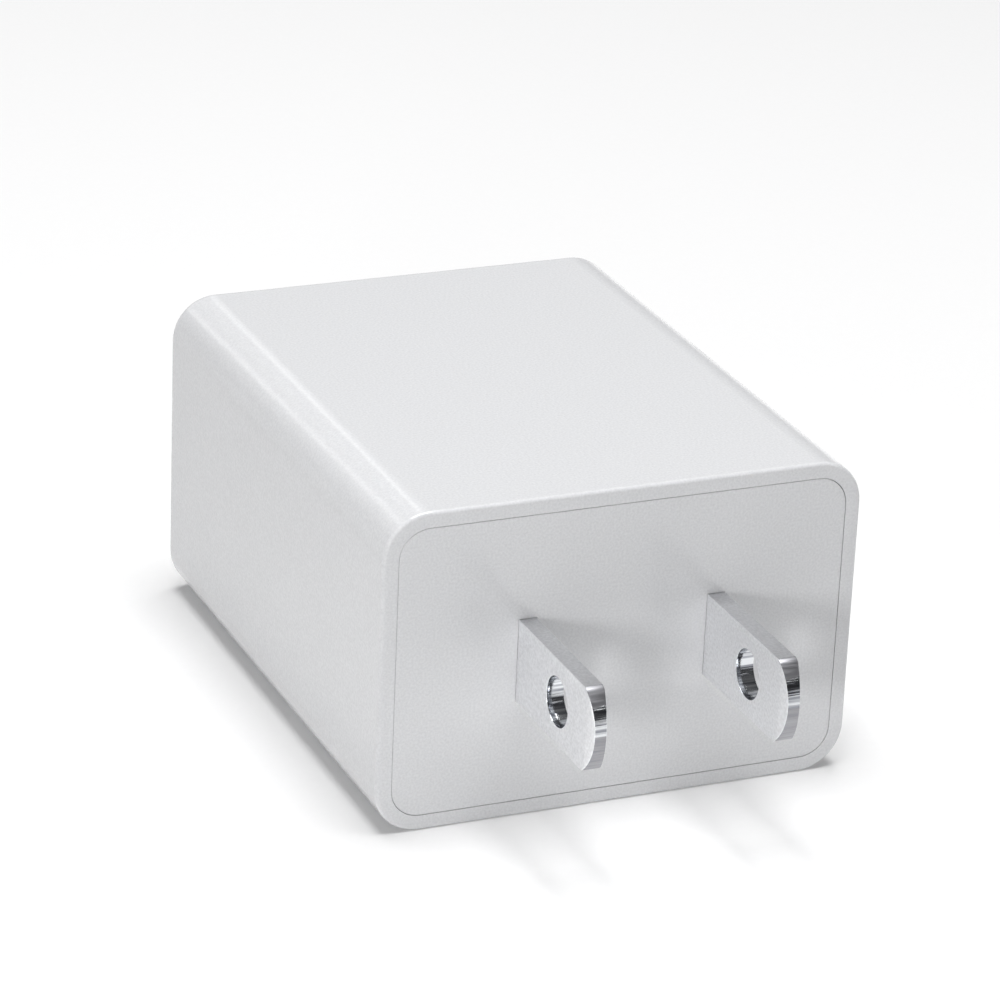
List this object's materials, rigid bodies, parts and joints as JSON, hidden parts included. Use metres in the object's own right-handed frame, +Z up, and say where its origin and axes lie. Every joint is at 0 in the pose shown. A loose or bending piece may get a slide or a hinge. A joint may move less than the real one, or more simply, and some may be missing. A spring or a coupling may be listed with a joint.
{
  "type": "usb wall charger",
  "caption": "White block-shaped wall charger with fixed flat blades with round holes on one end face and a USB-A port in the other.",
  "frame": {"origin": "centre of the outlet face, midway between the two blades", "axes": "-Y out of the outlet face, the way the blades point; +Y along the body to the USB port; +X across both blades; +Z up"},
  "size_m": [0.032, 0.0508, 0.0212],
  "materials": {
    "casing_plastic": "fine moulded texture, white",
    "blade_plate": "satin nickel plate",
    "spring_bronze": "phosphor bronze strip",
    "board_laminate": "green solder mask on glass laminate",
    "receptacle_steel": "nickel-plated sheet steel",
    "receptacle_moulding": "black moulded nylon",
    "contact_gold": "gold-flashed spring contacts",
    "ferrite": "dull sintered ferrite",
    "bobbin_moulding": "black moulded phenolic",
    "magnet_wire": "enamelled copper wire",
    "winding_tape": "yellow polyester tape",
    "tinned_pin": "tinned wire",
    "capacitor_sleeve": "printed film sleeve left blank, aluminium top",
    "resistor_coat": "lacquered ceramic",
    "inductor_coat": "dipped epoxy",
    "disc_coat": "blue dipped epoxy over ceramic",
    "package_epoxy": "moulded epoxy",
    "chip_ceramic": "fired ceramic with tinned ends",
    "sheet_film": "polyester film"
  },
  "bodies": {
    "charger": {"blade_contact_left": "spring_bronze", "blade_contact_right": "spring_bronze", "blade_left": "blade_plate", "blade_right": "blade_plate", "bridge_rectifier": "package_epoxy", "bulk_capacitor_a": "capacitor_sleeve", "bulk_capacitor_b": "capacitor_sleeve", "chip_parts": "chip_ceramic", "controller_ic": "package_epoxy", "end_plate": "casing_plastic", "fusible_resistor": "resistor_coat", "housing_shell": "casing_plastic", "input_inductor": "inductor_coat", "insulating_sheet": "sheet_film", "main_pcb": "board_laminate", "output_capacitor_a": "capacitor_sleeve", "output_capacitor_b": "capacitor_sleeve", "primary_winding": "magnet_wire", "schottky_diode": "package_epoxy", "secondary_winding": "magnet_wire", "transformer_bobbin": "bobbin_moulding", "transformer_core_lower": "ferrite", "transformer_core_upper": "ferrite", "transformer_pins": "tinned_pin", "transformer_tape": "winding_tape", "usb_contact_tails": "contact_gold", "usb_insulator": "receptacle_moulding", "usb_shell": "receptacle_steel", "y_capacitor": "disc_coat"},
    "contact_1": {"usb_contact_1": "contact_gold"},
    "contact_2": {"usb_contact_2": "contact_gold"},
    "contact_3": {"usb_contact_3": "contact_gold"},
    "contact_4": {"usb_contact_4": "contact_gold"}
  },
  "joints": [
    {"name": "contact_1_press", "type": "hinge", "parent": "charger", "child": "contact_1", "pos_m": [-0.0035, 0.0296, 0.00062], "axis": [1, 0, 0], "range_deg": [0, 4], "stiffness_Nm_per_rad": 0.05},
    {"name": "contact_2_press", "type": "hinge", "parent": "charger", "child": "contact_2", "pos_m": [-0.001, 0.0296, 0.00062], "axis": [1, 0, 0], "range_deg": [0, 4], "stiffness_Nm_per_rad": 0.05},
    {"name": "contact_3_press", "type": "hinge", "parent": "charger", "child": "contact_3", "pos_m": [0.001, 0.0296, 0.00062], "axis": [1, 0, 0], "range_deg": [0, 4], "stiffness_Nm_per_rad": 0.05},
    {"name": "contact_4_press", "type": "hinge", "parent": "charger", "child": "contact_4", "pos_m": [0.0035, 0.0296, 0.00062], "axis": [1, 0, 0], "range_deg": [0, 4], "stiffness_Nm_per_rad": 0.05}
  ]
}
